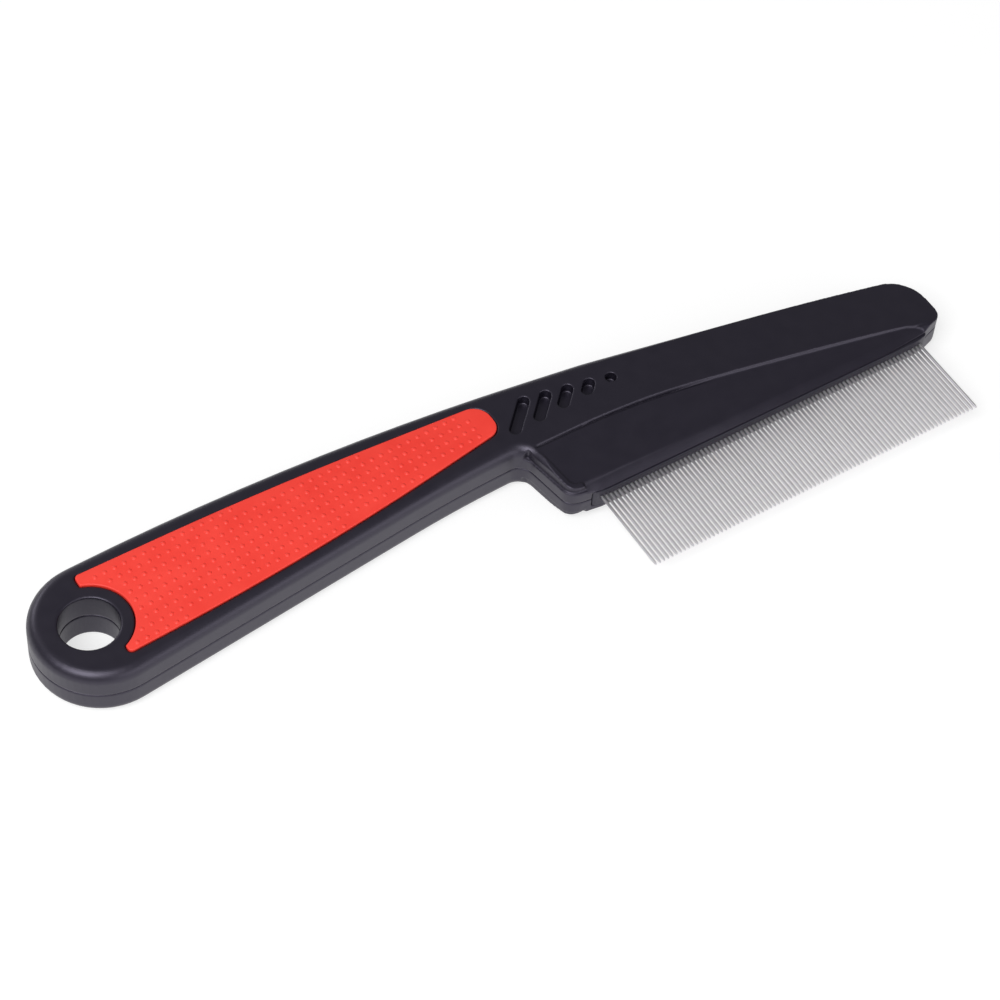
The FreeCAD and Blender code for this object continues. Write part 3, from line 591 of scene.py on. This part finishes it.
add_piece("front_shell_moulded",
          softened("front_shell", voxel=0.15 * MM, rounds=5, share=0.15, reshape=head_finish),
          "front_shell", "front_shell_plastic", "front_shell")
add_piece("rear_shell_moulded",
          softened("rear_shell", voxel=0.15 * MM, rounds=6, share=0.13, reshape=lean_out),
          "rear_shell", "rear_shell_plastic", "rear_shell")
add_piece("pin_bar_moulded",
          softened("pin_bar", voxel=0.12 * MM, rounds=3, share=0.15, reshape=bar_finish),
          "pin_bar", "bar_plastic", "pin_bar")
add_piece("front_grip_dotted", dotted_grip("front_grip", side=1, floor=9.2 * MM, top=10.9 * MM),
          "grip", "grip_rubber", "front_grip")
add_piece("rear_grip_dotted", dotted_grip("rear_grip", side=-1, floor=1.4 * MM, top=0.18 * MM),
          "grip", "grip_rubber", "rear_grip")
add_piece("pin_row", round_pins(), "pins", "pin_steel", *PINS)


# ---------------------------------------------------------------- camera, light and floor

CAMERA_PLACE = Vector((-128.624, -293.498, 463.045)) * MM
CAMERA_AZIMUTH = math.radians(-36.03)
CAMERA_ELEVATION = math.radians(52.52)
CAMERA_ROLL = math.radians(4.71)
SENSOR = 36.0
LENS = 115.2

# Strengths of the white world: as the light on the comb, and as the camera sees it.
WHITE = (1.0, 1.0, 1.0, 1.0)
WORLD_LIGHT = 0.22
WORLD_SEEN = 1.0

# The floor as the camera, metal and gloss see it glows a little and is shaded for the rest; what
# it sends back as soft light comes from its plain colours.
FLOOR_REACH = 3.0
FLOOR_BELOW = 0.05 * MM
FLOOR_COLOURS = ((0.93, 0.93, 0.93), (0.95, 0.95, 0.95))
FLOOR_GLOW = 0.66
FLOOR_SHADED = (0.42, 0.42, 0.42, 1.0)

MIDDLE = (0.085, -0.005, 0.0)


def camera_turn(azimuth, elevation, roll):
    """Rotation of a camera that is turned, raised, and then rolled about its own axis."""
    back = Vector((math.sin(azimuth) * math.cos(elevation),
                   -math.cos(azimuth) * math.cos(elevation),
                   math.sin(elevation)))
    right = Vector((math.cos(azimuth), math.sin(azimuth), 0.0))
    up = back.cross(right)
    rolled_right = right * math.cos(roll) + up * math.sin(roll)
    rolled_up = up * math.cos(roll) - right * math.sin(roll)
    return Matrix((rolled_right, rolled_up, back)).transposed()


def make_camera():
    """The camera at the photo's viewing angle."""
    data = bpy.data.cameras.new("camera")
    data.sensor_width = SENSOR
    data.lens = LENS
    data.clip_start = 0.01
    data.clip_end = 20.0
    camera = bpy.data.objects.new("camera", data)
    bpy.context.scene.collection.objects.link(camera)
    turn = camera_turn(CAMERA_AZIMUTH, CAMERA_ELEVATION, CAMERA_ROLL)
    camera.matrix_world = Matrix.Translation(CAMERA_PLACE) @ turn.to_4x4()
    bpy.context.scene.camera = camera


def area_light(name, place, width, height, power):
    """A soft box that faces the middle of the comb."""
    data = bpy.data.lights.new(name, "AREA")
    data.shape = "RECTANGLE"
    data.size = width
    data.size_y = height
    data.energy = power
    light = bpy.data.objects.new(name, data)
    bpy.context.scene.collection.objects.link(light)
    back = (Vector(place) - Vector(MIDDLE)).normalized()
    turn = back.to_track_quat("Z", "Y").to_matrix().to_4x4()
    light.matrix_world = Matrix.Translation(Vector(place)) @ turn


def make_world():
    """An even pale studio light; the camera sees plain white."""
    world = bpy.data.worlds.new("studio")
    bpy.context.scene.world = world
    world.use_nodes = True
    tree = world.node_tree
    tree.nodes.clear()
    output = tree.nodes.new("ShaderNodeOutputWorld")
    light = tree.nodes.new("ShaderNodeBackground")
    light.inputs["Color"].default_value = WHITE
    light.inputs["Strength"].default_value = WORLD_LIGHT
    seen = tree.nodes.new("ShaderNodeBackground")
    seen.inputs["Color"].default_value = WHITE
    seen.inputs["Strength"].default_value = WORLD_SEEN
    ray = tree.nodes.new("ShaderNodeLightPath")
    mix = tree.nodes.new("ShaderNodeMixShader")
    tree.links.new(ray.outputs["Is Camera Ray"], mix.inputs["Fac"])
    tree.links.new(light.outputs["Background"], mix.inputs[1])
    tree.links.new(seen.outputs["Background"], mix.inputs[2])
    tree.links.new(mix.outputs["Shader"], output.inputs["Surface"])


def larger(tree, one, two):
    """The larger of two node values."""
    node = tree.nodes.new("ShaderNodeMath")
    node.operation = "MAXIMUM"
    tree.links.new(one, node.inputs[0])
    tree.links.new(two, node.inputs[1])
    return node.outputs["Value"]


def make_floor():
    """A plain white sheet that keeps a faint shadow; metal and gloss see it as the camera does."""
    height = CAD_BOX[0][2] - FLOOR_BELOW
    corners = [(-FLOOR_REACH, -FLOOR_REACH), (FLOOR_REACH, -FLOOR_REACH),
               (FLOOR_REACH, FLOOR_REACH), (-FLOOR_REACH, FLOOR_REACH)]
    mesh = bpy.data.meshes.new("floor")
    mesh.from_pydata([(x, y, height) for x, y in corners], [], [(0, 1, 2, 3)])
    floor = bpy.data.objects.new("floor", mesh)
    bpy.context.scene.collection.objects.link(floor)
    material, tree, shader = new_material("floor_white")
    faint = noise(tree, position(tree), scale=0.004, detail=2.0)
    tree.links.new(two_colours(tree, faint, *FLOOR_COLOURS), shader.inputs["Base Color"])
    shader.inputs["Roughness"].default_value = 0.9
    shader.inputs["Specular IOR Level"].default_value = 0.0
    white = tree.nodes.new("ShaderNodeEmission")
    white.inputs["Strength"].default_value = FLOOR_GLOW
    shaded = tree.nodes.new("ShaderNodeBsdfDiffuse")
    shaded.inputs["Color"].default_value = FLOOR_SHADED
    both = tree.nodes.new("ShaderNodeAddShader")
    tree.links.new(white.outputs["Emission"], both.inputs[0])
    tree.links.new(shaded.outputs["BSDF"], both.inputs[1])
    ray = tree.nodes.new("ShaderNodeLightPath")
    seen = larger(tree, ray.outputs["Is Camera Ray"], ray.outputs["Is Glossy Ray"])
    seen = larger(tree, seen, ray.outputs["Is Transmission Ray"])
    mix = tree.nodes.new("ShaderNodeMixShader")
    tree.links.new(seen, mix.inputs["Fac"])
    tree.links.new(shader.outputs["BSDF"], mix.inputs[1])
    tree.links.new(both.outputs["Shader"], mix.inputs[2])
    output = next(node for node in tree.nodes if node.type == "OUTPUT_MATERIAL")
    tree.links.new(mix.outputs["Shader"], output.inputs["Surface"])
    paint(floor, material)


bpy.context.scene.view_settings.view_transform = "Standard"
make_camera()
make_world()
make_floor()
area_light("key", place=(-0.50, -0.30, 0.90), width=0.7, height=0.7, power=9.5)
area_light("front", place=(0.40, -0.95, 0.38), width=1.3, height=0.6, power=3.7)
area_light("rim", place=(-0.15, 0.90, 0.45), width=0.5, height=0.25, power=1.6)
